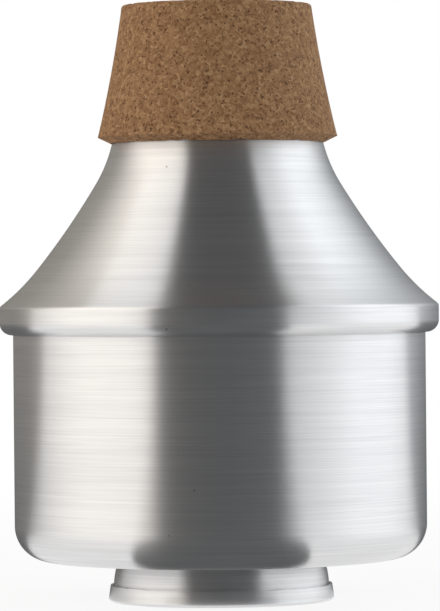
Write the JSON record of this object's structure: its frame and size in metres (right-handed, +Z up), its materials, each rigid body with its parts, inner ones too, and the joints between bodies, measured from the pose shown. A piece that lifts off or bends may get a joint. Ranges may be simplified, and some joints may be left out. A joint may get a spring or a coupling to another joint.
{
  "type": "trumpet wah-wah mute",
  "caption": "Straight-sided spun aluminium trumpet mute with a flared cone, a cork ring round its neck and a small cup on a stem tube that slides in its base.",
  "frame": {"origin": "centre of the stem cup's rim, on the surface that the mute stands on, with the stem fully in", "axes": "+Z up the mute's axis, from the stem cup to the cork; the mute is round about Z"},
  "size_m": [0.1048, 0.1048, 0.1421],
  "materials": {
    "satin_aluminium": "spun and brushed round the axis, satin",
    "drawn_aluminium": "drawn tube, smooth satin",
    "ground_cork": "agglomerated cork, ground smooth, unsealed"
  },
  "bodies": {
    "mute_body": {"cone_shell": "satin_aluminium", "bowl_shell": "satin_aluminium", "cork_ring": "ground_cork", "guide_tube": "drawn_aluminium", "friction_sleeve": "ground_cork"},
    "stem": {"stem_tube": "drawn_aluminium", "stem_cup": "satin_aluminium"}
  },
  "joints": [
    {"name": "stem_slide", "type": "slide", "parent": "stem", "child": "mute_body", "axis": [0, 0, 1], "range_m": [0, 0.085]}
  ]
}
